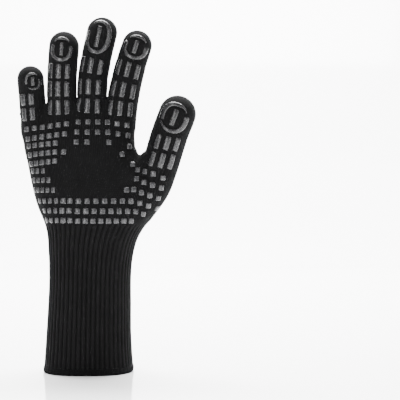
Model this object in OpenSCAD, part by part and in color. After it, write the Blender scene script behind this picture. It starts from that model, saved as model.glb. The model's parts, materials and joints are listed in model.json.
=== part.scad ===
// Heat resistant glove: a knitted outer glove with a long ribbed cuff, a cotton
// inner glove, and raised silicone grips on both faces.
// It stands on the rim of its cuff with the fingers up. The palm faces -Y, the
// thumb is on the +X side, and the origin is midway across the glove at the rim.
// Positions below are measured from the middle of the cuff.

/* [Size] */
// Height from the rim to the top of the middle finger
glove_length = 347.5; // [320:0.5:390]

/* [Fabric] */
// Thickness of the outer knit
shell_t = 1.6; // [1.2:0.1:1.8]
// Thickness of the cotton inner glove
liner_t = 1.4; // [1:0.1:1.6]
// Gap between the outer knit and the inner glove
layer_gap = 0.2; // [0.15:0.05:0.3]

/* [Silicone grips] */
// How far a grip stands out of the knit
pad_h = 1.0; // [0.6:0.1:1.2]
// How deep the silicone soaks into the knit
pad_soak = 0.4; // [0.3:0.1:0.8]
// Side of a square palm grip
dot_size = 5.4; // [4:0.1:6]
// Width of a finger grip bar
bar_w = 5.4; // [4:0.1:6]

/* [Bending] */
// Widest angle that a crease between two finger sections can close to
crease_angle = 60; // [40:1:60]

/* [Hidden] */
design_length = 347.5;
k = glove_length / design_length;
crease_gap = 0.25;
// The crease at the thumb's root is narrower, to leave room for the grips beside it
thumb_root_crease = 40;
// Longer than any part of the hand, for cuts that go right through
far = 60;
liner_inset = shell_t + layer_gap;
hand_inset = liner_inset + liner_t;

// A finger is [knuckle, hinge centres from root to tip, dome centre, radius at the
// root, radius at the dome, grip turn, grip columns, grip column spacing in degrees]
INDEX = [[31.2, 0, 244], [[33.2, 0, 266.2], [37.2, -1, 285.2], [41.9, -2, 303]],
         [47.7, -3.5, 320.2], 14.8, 14.5, -2, [-1, 0, 1], 39];
MIDDLE = [[1.6, 0, 244], [[2.8, 0, 268.9], [4, -1, 288.3], [7.4, -2.5, 307.4]],
          [13.8, -4.5, 333], 14.5, 14.5, -10, [-1, 0, 1], 39];
RING = [[-26.4, 0, 244], [[-26.9, 0, 266], [-26.6, -1, 284.2], [-25.6, -2, 300.9]],
        [-24.1, -3.5, 319], 14.6, 14.6, -8, [-1, 0, 1], 35.4];
LITTLE = [[-53.7, 0, 234], [[-55.3, 0, 259], [-56.2, -1, 272.6]],
          [-57.2, -2.5, 287.2], 12.9, 13, 4, [-1, 0], 38.6];
THUMB = [[62.9, -7, 184.2], [[68.4, -8, 196.4], [79.9, -12, 232]],
         [87.4, -14.5, 251.6], 18, 18.1, 3, [-1, 0, 1], 31];

function knuckle(f) = f[0];
function hinges(f) = f[1];
function dome(f) = f[2];
function root_r(f) = f[3];
function dome_r(f) = f[4];
function grip_turn(f) = f[5];
function grip_columns(f) = f[6];
function grip_spread(f) = f[7];
function last(v) = v[len(v) - 1];
function spine(f) = concat(hinges(f), [dome(f)]);

// In-plane angle of a step p to q, from +Z towards +X
function lean(p, q) = atan2(q.x - p.x, q.z - p.z);
// Forward tilt of a step p to q, towards -Y
function tilt(p, q) = asin((p.y - q.y) / norm(q - p));

// A hinge line lies this share of the radius in front of the finger's centre
hinge_depth = 0.6;
thumb_root_lean = 27;
function radius_at(f, i) =
    root_r(f) + (dome_r(f) - root_r(f)) * i / (len(hinges(f)));
function hinge_line(f, i) = hinges(f)[i] - [0, hinge_depth * radius_at(f, i), 0];

// Palm sections: height, low X, high X, half depth
PALM = [[141, -41.9, 54.6, 33], [146, -43.6, 58.5, 33.4], [150, -45.9, 60.5, 33.5],
        [160, -49.6, 61, 33], [174, -54.1, 57, 31.5], [189, -57.4, 50, 29],
        [204, -59.8, 46.5, 26.5], [219, -63, 45.2, 23], [236, -65.9, 44.9, 18.8],
        [246, -66.7, 44.6, 15.2], [249, -64, 43.5, 10.8], [253, -57, 41, 8]];
WRIST = [[97, -38.5, 41.4, 33], [108, -38.6, 42.5, 33], [119, -39.2, 44.4, 33],
         [130, -39.9, 47.9, 33], [136, -40.6, 51.2, 33], [141, -41.9, 54.6, 33]];
CUFF = [[6.5, -43.5, 43, 35], [15, -42.6, 42.3, 34.6], [36, -41, 41.2, 33.6],
        [62, -39.7, 40.9, 33], [97, -38.5, 41.4, 33]];
HEM = [-44.4, 43.6, 36.6];
hem_h = 6.5;
squareness = 2.4;
section_sides = 40;

// The mound at the thumb's root and the web beside it, as three balls that are
// joined in pairs: centre and radius
MOUND = [[[62.9, -7, 184.2], 18], [[41.4, -2, 160], 22], [[44.5, -1, 196], 14]];
mound_pairs = [[0, 1], [1, 2], [0, 2]];

// How far the middle of the whole glove is from the middle of its cuff
middle_x = (dome(THUMB).x + dome_r(THUMB) + dome(LITTLE).x - dome_r(LITTLE)) / 2;
module place() {
    scale(k) translate([-middle_x, 0, 0]) children();
}

// ---- shapes ----

function rounded_point(a, b, angle) =
    [a * sign(cos(angle)) * pow(abs(cos(angle)), 2 / squareness),
     b * sign(sin(angle)) * pow(abs(sin(angle)), 2 / squareness)];

module section_outline(low, high, depth, inset) {
    half = (high - low) / 2 - inset;
    translate([(low + high) / 2, 0])
        polygon([for (i = [0 : section_sides - 1])
            rounded_point(half, depth - inset, 360 * i / section_sides)]);
}

module slice(s, inset) {
    translate([0, 0, s[0]])
        linear_extrude(0.02) section_outline(s[1], s[2], s[3], inset);
}

module loft(sections, inset) {
    for (i = [0 : len(sections) - 2])
        hull() {
            slice(sections[i], inset);
            slice(sections[i + 1], inset);
        }
}

// Sections stretched past both ends, so that a cut goes right through
function through(sections) =
    let (first = sections[0], end = last(sections))
    concat([[first[0] - 1, first[1], first[2], first[3]]], sections,
           [[end[0] + 1, end[1], end[2], end[3]]]);

module sleeve(sections, outer_inset, inner_inset) {
    difference() {
        loft(sections, outer_inset);
        loft(through(sections), inner_inset);
    }
}

// Puts children on the line from p to q: their +Z along it and -Y to the palm side
module along(p, q) {
    translate(p) rotate([tilt(p, q), lean(p, q), 0]) children();
}

module rod(p, q, r1, r2, extra = 0) {
    along(p, q) translate([0, 0, -extra])
        cylinder(h = norm(q - p) + 2 * extra, r1 = r1, r2 = r2, $fn = 48);
}

module tube(p, q, r1, r2, outer_inset, inner_inset, extra) {
    difference() {
        rod(p, q, r1 - outer_inset, r2 - outer_inset, extra);
        rod(p, q, r1 - inner_inset, r2 - inner_inset, extra + 1);
    }
}

// Everything on the far side of a crease: dir 1 is above it, -1 below it.
// On the palm side the cut leans away, so that the crease can close.
module beyond_crease(line_point, turn, dir, half_width, angle) {
    slope = tan(angle / 2);
    translate(line_point) rotate([0, turn, 0]) rotate([90, 0, 90])
        linear_extrude(2 * half_width, center = true)
            polygon([[far, dir * -crease_gap], [0, dir * -crease_gap],
                     [-far, dir * (-crease_gap - far * slope)],
                     [-far, dir * far], [far, dir * far]]);
}

function hinge_turn(f, i) =
    f == THUMB && i == 0 ? thumb_root_lean :
    i == 0 ? 0 :
    lean(hinges(f)[i - 1], spine(f)[i + 1]);

module beyond_hinge(f, i, dir, half_width = far) {
    beyond_crease(hinge_line(f, i), hinge_turn(f, i), dir, half_width,
                  f == THUMB && i == 0 ? thumb_root_crease : crease_angle);
}

// Section i of a finger, between hinge i and the next one, as a tube
module finger_section(f, i, outer_inset, inner_inset) {
    p = spine(f)[i];
    q = spine(f)[i + 1];
    reach = 0.9 * radius_at(f, i);
    difference() {
        tube(p, q, radius_at(f, i), radius_at(f, i + 1), outer_inset, inner_inset, reach);
        beyond_hinge(f, i, -1);
        beyond_hinge(f, i + 1, 1);
    }
}

function dome_profile(r, length) =
    concat([[r, 0]], [for (a = [0 : 10 : 90]) [r * cos(a), length + r * sin(a)]]);

// The last section of a finger, with its round end, turned in one piece
module finger_tip(f, outer_inset, inner_inset) {
    i = len(hinges(f)) - 1;
    p = spine(f)[i];
    q = dome(f);
    reach = radius_at(f, i);
    length = norm(q - p) + reach;
    outer_r = dome_r(f) - outer_inset;
    inner_r = dome_r(f) - inner_inset;
    difference() {
        along(p, q) translate([0, 0, -reach]) rotate_extrude($fn = 48)
            polygon(concat(dome_profile(outer_r, length), [[0, length + inner_r]],
                           [for (a = [80 : -10 : 0])
                               [inner_r * cos(a), length + inner_r * sin(a)]],
                           [[inner_r, 0]]));
        beyond_hinge(f, i, -1);
    }
}

// ---- the hand part, which carries every finger ----

module finger_stub(f, inset) {
    rod(knuckle(f), hinges(f)[0], root_r(f) - inset, root_r(f) - inset, 8);
}

module mound(inset) {
    for (pair = mound_pairs)
        hull() for (i = pair)
            translate(MOUND[i][0]) sphere(MOUND[i][1] - inset, $fn = 36);
    along(knuckle(THUMB), hinges(THUMB)[0])
        cylinder(h = norm(hinges(THUMB)[0] - knuckle(THUMB)) + 12,
                 r = root_r(THUMB) - inset, $fn = 48);
}

module hand_form(sections, inset) {
    loft(sections, inset);
    mound(inset);
    for (f = [INDEX, MIDDLE, RING, LITTLE])
        finger_stub(f, inset);
}

// Cuts the finger holes open along each root crease
module root_creases() {
    for (f = [MIDDLE, RING])
        beyond_hinge(f, 0, 1, 15.2);
    translate([0.6, 0, 0]) beyond_hinge(INDEX, 0, 1, 15.6);
    translate([-2, 0, 0]) beyond_hinge(LITTLE, 0, 1, 15.2);
    beyond_hinge(THUMB, 0, 1, 22);
}

module hand_layer(outer_inset, inner_inset) {
    difference() {
        hand_form(PALM, outer_inset);
        intersection() {
            hand_form(concat([[134, -40.2, 50.4, 33]], PALM), inner_inset);
            translate([-2 * far, -far, 120]) cube([4 * far, 2 * far, 4 * far]);
        }
        translate([-2 * far, -far, 41]) cube([4 * far, 2 * far, 100]);
        root_creases();
    }
}

// ---- silicone grips ----

// A flat grip on a finger: across is the angle round it, up the place along it
module bar(r, across, up, width, length) {
    rotate([0, 0, across]) translate([0, -r + pad_soak, up])
        translate([-width / 2, -pad_soak - pad_h, -length / 2])
            cube([width, pad_h + pad_soak, length]);
}

// A row of bars on both faces of a section, from hinge i
module bar_row(f, i, up, length) {
    p = spine(f)[i];
    q = spine(f)[i + 1];
    share = up / norm(q - p);
    r = radius_at(f, i) + (radius_at(f, i + 1) - radius_at(f, i)) * share;
    along(p, q)
        for (face = [0, 180], c = grip_columns(f)) {
            side = face == 0 ? 1 : -1;
            bar(r, face + side * (grip_turn(f) + c * grip_spread(f)), up, bar_w, length);
        }
}

// A bar row on the hand part, just below a finger's root crease
module knuckle_row(f, below, length) {
    p = knuckle(f);
    q = hinges(f)[0];
    along(p, q)
        for (face = [0, 180], c = grip_columns(f)) {
            side = face == 0 ? 1 : -1;
            bar(root_r(f), face + side * (grip_turn(f) + c * grip_spread(f)),
                norm(q - p) - below, bar_w, length);
        }
}

// A crescent between two angles: half width and half height of its ring, how thick
// it is at its first end, in the middle and at its last end
module crescent(half_w, half_h, from, to, ends) {
    steps = 12;
    function thick(t) = lookup(t, [[0, ends[0]], [0.5, ends[1]], [1, ends[2]]]);
    function at(t, out) =
        let (a = from + (to - from) * t, o = out * thick(t) / 2)
        [(half_w + o) * sin(a), (half_h + o) * cos(a)];
    polygon(concat([for (n = [0 : steps]) at(n / steps, 1)],
                   [for (n = [steps : -1 : 0]) at(n / steps, -1)]));
}

// A fingertip ring: half width, half height, its arcs, and how far its centre is
// below the dome centre
LONG_ARCS = [[-40, 245, [1.8, 3.8, 2.4]], [262, 303, [3, 3, 3]]];
CAP_ARCS = [[-52, 52, [0.8, 3, 0.8]], [74, 286, [3.8, 3.8, 3.8]]];
SWIRL_ARCS = [[-112, 55, [4.6, 3.8, 0.8]], [68, 245, [4.6, 3.8, 0.8]]];
LITTLE_ARCS = [[-105, 48, [2.6, 2.6, 0.8]], [75, 215, [2.6, 2.6, 0.8]]];
function ring_shape(f) =
    f == MIDDLE ? [10.2, 15, LONG_ARCS, 6.9, 21] :
    f == THUMB ? [11.8, 13, SWIRL_ARCS, 4.2, 16.5] :
    f == LITTLE ? [6.4, 7.3, LITTLE_ARCS, 2.6, 9] :
    f == RING ? [8.8, 10.4, CAP_ARCS, 4.9, 13] :
    [10.2, 10.4, CAP_ARCS, 3.7, 13.4];
ring_turns = [[INDEX, -2], [MIDDLE, -5.5], [RING, -2], [LITTLE, 16], [THUMB, -3]];
function ring_turn(f) = [for (t = ring_turns) if (t[0] == f) t[1]][0];

module tip_grip(f, is_ring) {
    shape = ring_shape(f);
    p = spine(f)[len(hinges(f)) - 1];
    along(dome(f), dome(f) + (dome(f) - p))
        for (face = [0, 180]) {
            side = face == 0 ? 1 : -1;
            rotate([0, 0, face + side * ring_turn(f)])
                intersection() {
                    fingertip_layer(f);
                    translate([0, 0, -shape[3]]) rotate([90, 0, 0])
                        linear_extrude(far)
                            if (is_ring)
                                for (arc = shape[2])
                                    crescent(shape[0], shape[1], arc[0], arc[1], arc[2]);
                            else
                                square([bar_w - 1, shape[4]], center = true);
                }
        }
}

module fingertip_layer(f) {
    r = dome_r(f);
    back = 2 * r;
    difference() {
        capsule(r + pad_h, back);
        capsule(r - pad_soak, back + 1);
    }
}

module capsule(r, back) {
    rotate_extrude($fn = 48)
        polygon(concat([[0, -back], [r, -back]],
                       [for (a = [0 : 10 : 90]) [r * cos(a), r * sin(a)]]));
}

// Depth of the hand form in front of (face 1) or behind (face -1) the plane y = 0
function palm_value(z, i) = lookup(z, [for (s = PALM) [s[0], s[i]]]);
function loft_depth(x, z) =
    let (low = palm_value(z, 1), high = palm_value(z, 2),
         u = abs(2 * x - low - high) / (high - low))
    u >= 1 ? 0 : palm_value(z, 3) * pow(1 - pow(u, squareness), 1 / squareness);
function ball_depth(p, q, r_p, r_q, x, z, face) =
    let (d = [q.x - p.x, q.z - p.z],
         t = max(0, min(1, ([x - p.x, z - p.z] * d) / (d * d))),
         c = p + (q - p) * t,
         r = r_p + (r_q - r_p) * t,
         off = pow(r, 2) - pow(x - c.x, 2) - pow(z - c.z, 2))
    off <= 0 ? 0 : sqrt(off) - face * c.y;
function stub_depth(f, x, z) =
    let (off = pow(root_r(f), 2) - pow(x - knuckle(f).x, 2))
    z < knuckle(f).z - 8 || off <= 0 ? 0 : sqrt(off);
function depth(x, z, face) =
    max(loft_depth(x, z), stub_depth(INDEX, x, z), stub_depth(MIDDLE, x, z),
        stub_depth(RING, x, z), stub_depth(LITTLE, x, z),
        max([for (p = mound_pairs)
                ball_depth(MOUND[p[0]][0], MOUND[p[1]][0], MOUND[p[0]][1], MOUND[p[1]][1],
                           x, z, face)]),
        ball_depth(knuckle(THUMB), hinges(THUMB)[0], root_r(THUMB), root_r(THUMB),
                   x, z, face));

// Slopes of the surface, taken over a small step
probe = 0.8;
function slope_x(x, z, face) =
    (depth(x + probe, z, face) - depth(x - probe, z, face)) / (2 * probe);
function slope_z(x, z, face) =
    (depth(x, z + probe, face) - depth(x, z - probe, face)) / (2 * probe);
// The next place along a row, one pitch away over the surface
function next_x(x, z, step, face) =
    let (guess = x + step / sqrt(1 + pow(slope_x(x, z, face), 2)) / 2)
    x + step / sqrt(1 + pow(slope_x(guess, z, face), 2));
function walk(x, z, step, count, face) =
    count <= 0 ? [] :
    concat([x], walk(next_x(x, z, step, face), z, step, count - 1, face));

// The dots that wrap round the outer edge of the heel are narrower
function dot_width(x, z) = x < -28 && z < 200 ? 0.78 * dot_size : dot_size;

module dot(x, z, face) {
    mx = slope_x(x, z, face);
    mz = slope_z(x, z, face);
    width = dot_width(x, z);
    size = [width, pad_h + pad_soak, dot_size];
    mirror([0, face == 1 ? 0 : 1, 0])
        translate([x, -depth(x, z, face), z])
            rotate([-asin(-mz / norm([mx, 1, mz])), 0, atan2(-mx, 1)])
                translate([-width / 2, -pad_h, -dot_size / 2]) cube(size);
}

// A row of dots is [height, pitch, first X of the dots that run towards -X, their
// count, first X of the dots that run towards +X, their count]
DOT_ROWS = [
    [242.2, 7.9, -20.2, 6, 0, 0], [243.4, 9.5, 0, 0, -8.9, 6],
    [232.6, 7.5, -21.7, 6, 0, 0], [233.6, 10, 0, 0, -9.8, 6],
    [223, 7, -30.4, 5, 40.4, 1], [224, 10.4, 0.2, 2, 21.3, 1],
    [214.3, 6.7, -30.7, 5, 33.9, 1], [214.3, 8, -22.1, 1, 0, 0],
    [205.5, 6.6, -30.5, 5, 43.5, 1], [196.2, 6.6, -41.9, 3, 0, 0],
    [187.2, 6.1, -36.3, 4, 0, 0], [177.6, 6.1, -31.6, 5, 0, 0],
    [197.3, 9, 0, 0, 49.6, 1], [198.4, 9.3, 0, 0, 56.2, 3],
    [187.6, 8.3, 0, 0, 48.2, 4], [177, 7.9, 0, 0, 38.4, 5],
    [167.2, 6.9, -15.1, 6, 0, 0], [166.8, 8.4, 0, 0, -6.9, 10],
    [157.8, 7, -16.1, 5, 0, 0], [157.2, 8, 0, 0, -7.7, 9],
    [148.4, 7, -15.1, 5, 0, 0], [147.9, 7.4, 0, 0, -7.6, 8],
];
// Each row falls towards the little finger and towards the thumb. Per kind of row: above
// which height, fall to the left, from which X, fall to the right, from which X
ROW_FALLS = [[230, 0.12, -15, 0.14, 19], [200, 0.1, -30, 0.14, 19], [0, 0, 0, 0.3, 46]];
function falls(z) = [for (fall = ROW_FALLS) if (z > fall[0]) fall][0];
function dip(x, fall) = fall[1] * max(0, fall[2] - x) + fall[3] * max(0, x - fall[4]);

module dots(face) {
    for (row = DOT_ROWS) {
        runs = [walk(row[2], row[0], -row[1], row[3], face),
                walk(row[4], row[0], row[1], row[5], face)];
        for (run = runs, x = run)
            dot(x, row[0] - dip(x, falls(row[0])), face);
    }
}

// ---- the parts ----

KNIT = "#202020";
HEM_KNIT = "#1a1a1a";
COTTON = "#8f8f8c";
SILICONE = "#57575c";
bar_l = 15.4;
seam_gap = 0.3;

module cuff_hem() {
    color(HEM_KNIT) place()
        linear_extrude(hem_h)
            difference() {
                section_outline(HEM[0], HEM[1], HEM[2], 0);
                section_outline(HEM[0], HEM[1], HEM[2], 6);
            }
}

module cuff_shell() {
    color(KNIT) place() sleeve(CUFF, 0, shell_t);
}

module cuff_liner() {
    color(COTTON) place() sleeve(CUFF, liner_inset, hand_inset);
}

module wrist_layer(outer_inset, inner_inset) {
    low = WRIST[0][0] + seam_gap;
    high = last(WRIST)[0] - seam_gap;
    intersection() {
        sleeve(WRIST, outer_inset, inner_inset);
        translate([-2 * far, -far, low]) cube([4 * far, 2 * far, high - low]);
    }
}

module wrist_shell() {
    color(KNIT) place() wrist_layer(0, shell_t);
}

module wrist_liner() {
    color(COTTON) place() wrist_layer(liner_inset, hand_inset);
}

module palm_shell() {
    color(KNIT) place() hand_layer(0, shell_t);
}

module palm_liner() {
    color(COTTON) place() hand_layer(liner_inset, hand_inset);
}

module palm_grips() {
    color(SILICONE) place() trimmed_dots(1);
}

module back_grips() {
    color(SILICONE) place() trimmed_dots(-1);
}

module trimmed_dots(face) {
    difference() {
        dots(face);
        beyond_hinge(THUMB, 0, 1, 22);
    }
}

module knuckle_grips() {
    color(SILICONE) place() {
        for (f = [INDEX, MIDDLE, RING])
            difference() {
                knuckle_row(f, 9.6, 15.4);
                beyond_hinge(f, 0, 1);
            }
        difference() {
            knuckle_row(LITTLE, 8.2, 13);
            beyond_hinge(LITTLE, 0, 1);
        }
    }
}

module section_shell(f, i) {
    color(KNIT) place() finger_section(f, i, 0, shell_t);
}

module section_liner(f, i) {
    color(COTTON) place() finger_section(f, i, liner_inset, hand_inset);
}

module tip_shell(f) {
    color(KNIT) place() finger_tip(f, 0, shell_t);
}

module tip_liner(f) {
    color(COTTON) place() finger_tip(f, liner_inset, hand_inset);
}

module section_grips(f, i) {
    middle = norm(spine(f)[i + 1] - spine(f)[i]) / 2;
    color(SILICONE) place()
        difference() {
            bar_row(f, i, middle, bar_l);
            beyond_hinge(f, i, -1);
            beyond_hinge(f, i + 1, 1);
        }
}

module thumb_rows() {
    color(SILICONE) place()
        difference() {
            for (up = [11, 29.6])
                bar_row(THUMB, 0, up, bar_l);
            beyond_hinge(THUMB, 0, -1);
            beyond_hinge(THUMB, 1, 1);
        }
}

module tip_ring(f) {
    color(SILICONE) place()
        difference() {
            tip_grip(f, true);
            beyond_hinge(f, len(hinges(f)) - 1, -1);
        }
}

module tip_bar(f) {
    color(SILICONE) place() tip_grip(f, false);
}

module index_base_shell() section_shell(INDEX, 0);
module index_middle_shell() section_shell(INDEX, 1);
module index_tip_shell() tip_shell(INDEX);
module index_base_liner() section_liner(INDEX, 0);
module index_middle_liner() section_liner(INDEX, 1);
module index_tip_liner() tip_liner(INDEX);
module index_base_grips() section_grips(INDEX, 0);
module index_middle_grips() section_grips(INDEX, 1);
module index_tip_ring() tip_ring(INDEX);
module index_tip_bar() tip_bar(INDEX);

module middle_base_shell() section_shell(MIDDLE, 0);
module middle_middle_shell() section_shell(MIDDLE, 1);
module middle_tip_shell() tip_shell(MIDDLE);
module middle_base_liner() section_liner(MIDDLE, 0);
module middle_middle_liner() section_liner(MIDDLE, 1);
module middle_tip_liner() tip_liner(MIDDLE);
module middle_base_grips() section_grips(MIDDLE, 0);
module middle_middle_grips() section_grips(MIDDLE, 1);
module middle_tip_ring() tip_ring(MIDDLE);
module middle_tip_bar() tip_bar(MIDDLE);

module ring_base_shell() section_shell(RING, 0);
module ring_middle_shell() section_shell(RING, 1);
module ring_tip_shell() tip_shell(RING);
module ring_base_liner() section_liner(RING, 0);
module ring_middle_liner() section_liner(RING, 1);
module ring_tip_liner() tip_liner(RING);
module ring_base_grips() section_grips(RING, 0);
module ring_middle_grips() section_grips(RING, 1);
module ring_tip_ring() tip_ring(RING);
module ring_tip_bar() tip_bar(RING);

module little_base_shell() section_shell(LITTLE, 0);
module little_tip_shell() tip_shell(LITTLE);
module little_base_liner() section_liner(LITTLE, 0);
module little_tip_liner() tip_liner(LITTLE);
module little_base_grips() section_grips(LITTLE, 0);
module little_tip_ring() tip_ring(LITTLE);
module little_tip_bar() tip_bar(LITTLE);

module thumb_base_shell() section_shell(THUMB, 0);
module thumb_tip_shell() tip_shell(THUMB);
module thumb_base_liner() section_liner(THUMB, 0);
module thumb_tip_liner() tip_liner(THUMB);
module thumb_base_grips() thumb_rows();
module thumb_tip_ring() tip_ring(THUMB);
module thumb_tip_bar() tip_bar(THUMB);

cuff_hem();
cuff_shell();
cuff_liner();
wrist_shell();
wrist_liner();
palm_shell();
palm_liner();
palm_grips();
back_grips();
knuckle_grips();
index_base_shell();
index_middle_shell();
index_tip_shell();
index_base_liner();
index_middle_liner();
index_tip_liner();
index_base_grips();
index_middle_grips();
index_tip_ring();
index_tip_bar();
middle_base_shell();
middle_middle_shell();
middle_tip_shell();
middle_base_liner();
middle_middle_liner();
middle_tip_liner();
middle_base_grips();
middle_middle_grips();
middle_tip_ring();
middle_tip_bar();
ring_base_shell();
ring_middle_shell();
ring_tip_shell();
ring_base_liner();
ring_middle_liner();
ring_tip_liner();
ring_base_grips();
ring_middle_grips();
ring_tip_ring();
ring_tip_bar();
little_base_shell();
little_tip_shell();
little_base_liner();
little_tip_liner();
little_base_grips();
little_tip_ring();
little_tip_bar();
thumb_base_shell();
thumb_tip_shell();
thumb_base_liner();
thumb_tip_liner();
thumb_base_grips();
thumb_tip_ring();
thumb_tip_bar();
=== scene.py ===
import json
import math

import bmesh
import bpy
import numpy as np
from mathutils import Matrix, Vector


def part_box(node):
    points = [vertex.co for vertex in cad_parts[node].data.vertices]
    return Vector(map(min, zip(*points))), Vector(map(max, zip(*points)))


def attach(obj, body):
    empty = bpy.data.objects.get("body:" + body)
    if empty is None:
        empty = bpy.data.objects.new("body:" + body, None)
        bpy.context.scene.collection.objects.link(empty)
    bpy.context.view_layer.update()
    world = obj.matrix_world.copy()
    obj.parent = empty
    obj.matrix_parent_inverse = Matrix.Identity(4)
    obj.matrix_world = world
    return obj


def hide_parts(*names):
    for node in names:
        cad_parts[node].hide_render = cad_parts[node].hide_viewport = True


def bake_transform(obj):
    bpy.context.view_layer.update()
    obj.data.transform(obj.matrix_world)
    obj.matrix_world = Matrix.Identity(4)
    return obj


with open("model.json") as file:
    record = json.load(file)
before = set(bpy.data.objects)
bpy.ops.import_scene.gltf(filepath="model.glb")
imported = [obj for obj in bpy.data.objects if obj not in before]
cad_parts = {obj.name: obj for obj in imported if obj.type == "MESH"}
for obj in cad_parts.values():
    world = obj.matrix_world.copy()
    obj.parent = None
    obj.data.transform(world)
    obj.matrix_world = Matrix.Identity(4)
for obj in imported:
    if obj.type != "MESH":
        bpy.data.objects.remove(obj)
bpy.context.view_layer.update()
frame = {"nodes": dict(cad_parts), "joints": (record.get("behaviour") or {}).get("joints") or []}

# Lengths below are in millimetres, and are turned into metres when a mesh is made.
MM = 0.001
JOINTS = {j["name"]: j for j in frame["joints"]}


def middle(node, axis):
    low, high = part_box(node)
    return (low[axis] + high[axis]) / 2 / MM


# The middle of the cuff's rim in the row frame. Sections are measured from it.
CUFF_X = middle("cuff_hem", 0) + 0.4


# ---- the camera, at the height of the palm, level, with the glove left of the middle ----

EYE = Vector((109.3 + CUFF_X, -1050.0, 168.0)) * MM
VIEW_WIDTH = 394.0 * MM
SENSOR_WIDTH = 36.0

camera = bpy.data.objects.new("camera", bpy.data.cameras.new("camera"))
bpy.context.scene.collection.objects.link(camera)
camera.location = EYE
camera.rotation_euler = (math.radians(90), 0, 0)
camera.data.sensor_width = SENSOR_WIDTH
camera.data.lens = SENSOR_WIDTH * -EYE.y / VIEW_WIDTH
camera.data.clip_end = 20
bpy.context.scene.camera = camera


# ---- the glove's form ----

# Height, lowest X, highest X and half depth of the sleeve and the palm
SECTIONS = np.array([
    (0, -43.5, 43.2, 35.4), (6.5, -43.2, 43.0, 35.1), (15, -42.5, 42.3, 34.6),
    (36, -41.1, 41.2, 33.6), (62, -39.7, 40.9, 33), (97, -38.5, 41.3, 33),
    (108, -38.6, 42.3, 33), (119, -39.2, 44.3, 33), (130, -39.9, 47.7, 33),
    (136, -40.6, 50.8, 33), (141, -41.8, 54.0, 33), (146, -43.4, 58.4, 33.2),
    (150, -45.0, 61.3, 33.3), (155, -47.2, 63.6, 33.3), (160, -49.3, 64.4, 33),
    (167, -51.6, 63.0, 32.3), (174, -53.6, 58.5, 31.5), (189, -57.0, 50, 29),
    (204, -60.0, 46.2, 26.5), (219, -63.4, 45.5, 23), (236, -65.0, 44.4, 19),
    (246, -65.2, 43.6, 16.2), (254, -64.6, 42.6, 13.2), (260, -63.0, 41.5, 9.8),
    (266, -58, 39, 5.6), (269, -53, 36, 1.5),
])
WEB_TOP = 268.4
SQUARENESS = 2.4
RIB_TOP = 144.5
LINING_DEPTH = 1.9
# Girth of the palm over a whole turn's angle, for the knit's stitches
PALM_GIRTH = 46.0
HEM_TOP = 6.6

# The mound at the thumb's root: centre and radius of its two balls
MOUND = [((44.6, -2, 162.5), 21.6), ((63.4, -7, 183.8), 18.3)]

# How far a finger's hinge line lies in front of its centre, as a share of the radius
HINGE_DEPTH = 0.6

# Radius at the root and at the tip, how far above its root hinge a finger leaves the palm,
# and the length above there of the zone that bend() works out
FINGERS = {
    "index": dict(radii=(15.5, 14.6), leaves=3.0, bends=8, knuckle=(31.2, 244)),
    "middle": dict(radii=(14.8, 14.8), leaves=1.9, bends=8, knuckle=(1.6, 244)),
    "ring": dict(radii=(14.6, 14.6), leaves=3.4, bends=8, knuckle=(-26.4, 244)),
    "little": dict(radii=(12.9, 13.0), leaves=3.6, bends=6.5, knuckle=(-53.7, 234)),
    "thumb": dict(radii=(18.0, 18.1), leaves=6.8, bends=11, knuckle=(62.9, 184.2)),
}

# The knit of the web beside the thumb reaches this far up the thumb from where it leaves
WEB_REACH = 15

# A finger's form starts this far below its knuckle, inside the palm, and is this much
# thinner there and at the knuckle
START_DROP = 24
START_THINNER = (4, 0.8)
# The palm is joined to a finger from this far below the finger's root hinge
JOIN_DROP = 23


def smooth(t):
    t = np.clip(t, 0, 1)
    return t * t * (3 - 2 * t)


def unit(v):
    return v / np.maximum(np.linalg.norm(v, axis=-1, keepdims=True), 1e-9)


def through(points, at):
    """A smooth curve through points, whose first column is the place along it."""
    x, y = points[:, 0], points[:, 1:]
    slope = np.gradient(y, x, axis=0)
    i = np.clip(np.searchsorted(x, at) - 1, 0, len(x) - 2)
    h = (x[i + 1] - x[i])[:, None]
    t = np.clip((at - x[i])[:, None] / h, 0, 1)
    return (
        (2 * t**3 - 3 * t**2 + 1) * y[i]
        + (t**3 - 2 * t**2 + t) * h * slope[i]
        + (3 * t**2 - 2 * t**3) * y[i + 1]
        + (t**3 - t**2) * h * slope[i + 1]
    )


TABLE_Z = np.linspace(SECTIONS[0, 0], SECTIONS[-1, 0], 1200)
TABLE = through(SECTIONS, TABLE_Z)


def section(z):
    """Middle X, half width and half depth of the sleeve and palm at each height."""
    low, high, depth = (np.interp(z, TABLE_Z, TABLE[:, i]) for i in range(3))
    return (low + high) / 2 + CUFF_X, (high - low) / 2, depth


def outline(turn, z, inset=0.0):
    """Points and level normals on the sleeve at an angle, 0 at the palm side."""
    cx, half, depth = section(z)
    half, depth = half - inset, depth - inset
    power = 2 / SQUARENESS
    sin, cos = np.sin(turn), np.cos(turn)
    x = half * np.sign(sin) * np.abs(sin) ** power
    y = -depth * np.sign(cos) * np.abs(cos) ** power
    n = SQUARENESS - 1
    nx = np.sign(x) * (np.abs(x) / half) ** n / half
    ny = np.sign(y) * (np.abs(y) / depth) ** n / depth
    normal = unit(np.stack([nx, ny, np.zeros_like(nx)], -1))
    return np.stack([x + cx, y, z], -1), normal


def even_turns(count, z=80.0):
    """Angles that are equal distances apart round the cuff, starting behind it."""
    fine = np.linspace(-math.pi, math.pi, 4001)
    p = outline(fine, np.full_like(fine, z))[0]
    length = np.r_[0, np.cumsum(np.linalg.norm(np.diff(p, axis=0), axis=1))]
    return np.interp(np.arange(count) / count * length[-1], length, fine), length[-1]


RIBS = 54
RIB_POINTS = 8
RIB_DEPTH = 0.95
# The distance between two ribs, where the sleeve is measured
RIB_PITCH = even_turns(RIBS)[1] / RIBS


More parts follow.
